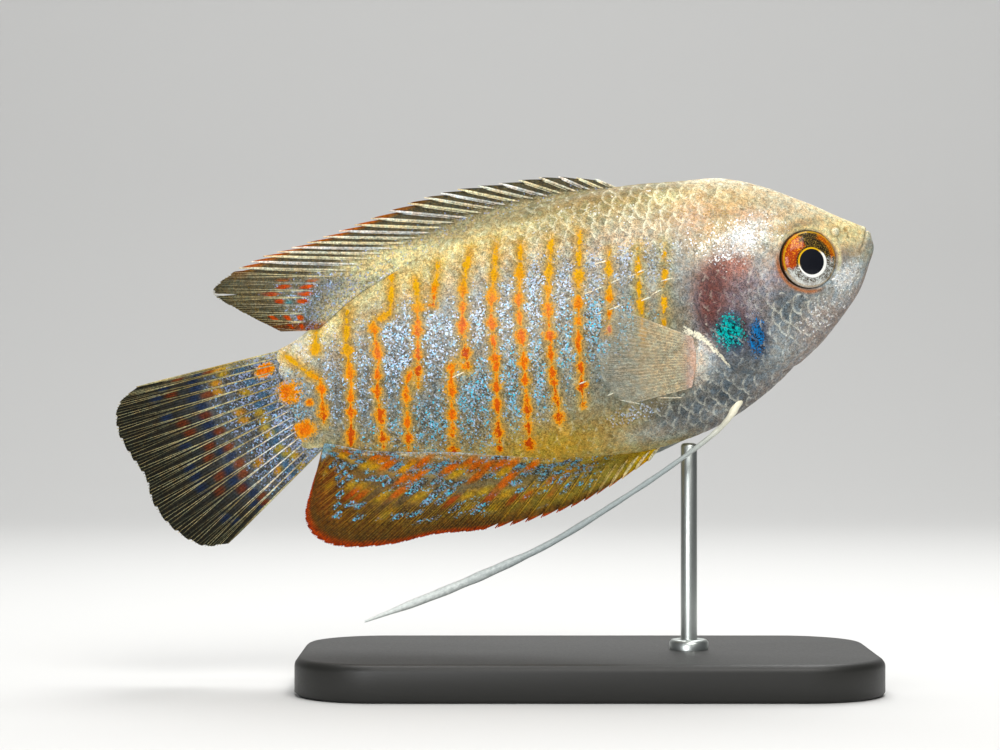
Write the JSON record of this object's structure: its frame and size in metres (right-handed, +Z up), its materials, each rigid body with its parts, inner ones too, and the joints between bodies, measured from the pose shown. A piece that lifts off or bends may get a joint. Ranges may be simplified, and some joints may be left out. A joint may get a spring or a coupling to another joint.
{
  "type": "dwarf gourami",
  "caption": "Life-size model of a dwarf gourami swimming nose up, with ribbed fins and thread-like pelvic feelers, on a flat base with a rod.",
  "frame": {"origin": "centre of the display base's underside, on the surface that the model stands on", "axes": "+Z up; +X the way the fish's head points, seen level; +Y to the fish's left, and the picture's camera looks along +Y"},
  "size_m": [0.0749, 0.03, 0.0496],
  "materials": {
    "skin": "scaled, satin with an iridescent sheen",
    "fin_olive": "ribbed, half-clear membrane",
    "fin_orange": "ribbed, half-clear membrane",
    "fin_clear": "fine-ribbed, clear membrane",
    "feeler": "pale, satin",
    "eye": "wet gloss",
    "stand_base": "satin black",
    "stand_steel": "brushed"
  },
  "bodies": {
    "root": {"head": "skin", "trunk": "skin", "tail_stem": "skin", "eye_right": "eye", "eye_left": "eye", "dorsal_fin": "fin_olive", "anal_fin": "fin_orange", "tail_fin": "fin_olive", "pectoral_fin_right": "fin_clear", "pectoral_fin_left": "fin_clear", "pelvic_feeler_right_1": "feeler", "pelvic_feeler_right_2": "feeler", "pelvic_feeler_right_3": "feeler", "pelvic_feeler_left_1": "feeler", "pelvic_feeler_left_2": "feeler", "pelvic_feeler_left_3": "feeler", "stand_base": "stand_base", "stand_rod": "stand_steel"}
  },
  "joints": []
}
